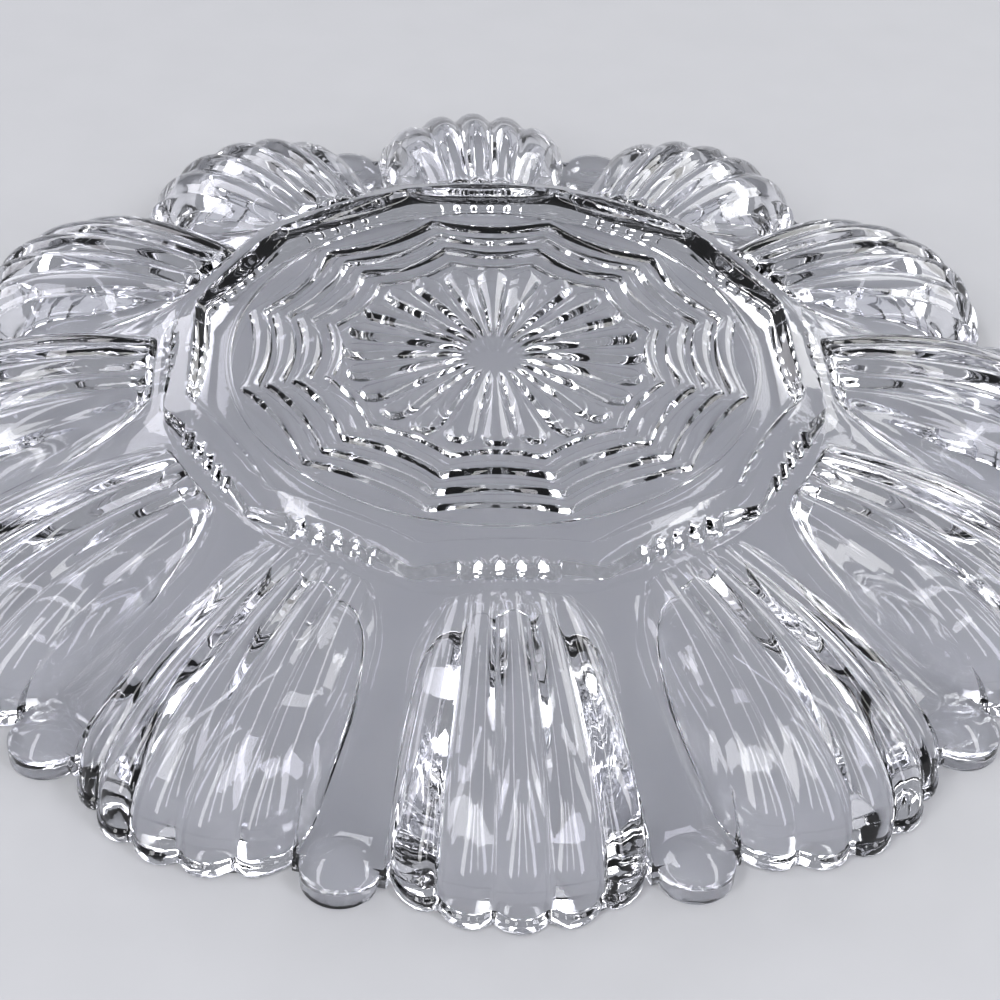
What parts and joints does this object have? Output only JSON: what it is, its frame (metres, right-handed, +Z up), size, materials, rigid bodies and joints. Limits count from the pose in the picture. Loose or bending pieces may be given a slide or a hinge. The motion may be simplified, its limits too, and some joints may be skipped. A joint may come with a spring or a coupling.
{
  "type": "deviled egg platter",
  "caption": "Round clear pressed-glass egg platter with fluted egg hollows, a beaded scalloped rim, a scalloped foot ring and a sunburst web pattern under the well.",
  "frame": {"origin": "on the centre line, in the plane that the platter's rim rests on when it lies face down", "axes": "+Z up out of the underside, towards the foot ring; the platter lies face down as in the picture, and -Y is its front, through the middle of one egg cup"},
  "size_m": [0.254, 0.254, 0.0306],
  "materials": {
    "pressed_glass": "gloss"
  },
  "bodies": {
    "root": {"well_floor": "pressed_glass", "sunburst": "pressed_glass", "frame_line": "pressed_glass", "shoulder_ring": "pressed_glass", "foot_ring": "pressed_glass", "web_ring_1": "pressed_glass", "web_ring_2": "pressed_glass", "web_ring_3": "pressed_glass", "web_ring_4": "pressed_glass", "egg_cup_01": "pressed_glass", "egg_cup_02": "pressed_glass", "egg_cup_03": "pressed_glass", "egg_cup_04": "pressed_glass", "egg_cup_05": "pressed_glass", "egg_cup_06": "pressed_glass", "egg_cup_07": "pressed_glass", "egg_cup_08": "pressed_glass", "egg_cup_09": "pressed_glass", "egg_cup_10": "pressed_glass", "egg_cup_11": "pressed_glass", "egg_cup_12": "pressed_glass", "land_web_01": "pressed_glass", "land_web_02": "pressed_glass", "land_web_03": "pressed_glass", "land_web_04": "pressed_glass", "land_web_05": "pressed_glass", "land_web_06": "pressed_glass", "land_web_07": "pressed_glass", "land_web_08": "pressed_glass", "land_web_09": "pressed_glass", "land_web_10": "pressed_glass", "land_web_11": "pressed_glass", "land_web_12": "pressed_glass", "rim_bead_01": "pressed_glass", "rim_bead_02": "pressed_glass", "rim_bead_03": "pressed_glass", "rim_bead_04": "pressed_glass", "rim_bead_05": "pressed_glass", "rim_bead_06": "pressed_glass", "rim_bead_07": "pressed_glass", "rim_bead_08": "pressed_glass", "rim_bead_09": "pressed_glass", "rim_bead_10": "pressed_glass", "rim_bead_11": "pressed_glass", "rim_bead_12": "pressed_glass"}
  },
  "joints": []
}
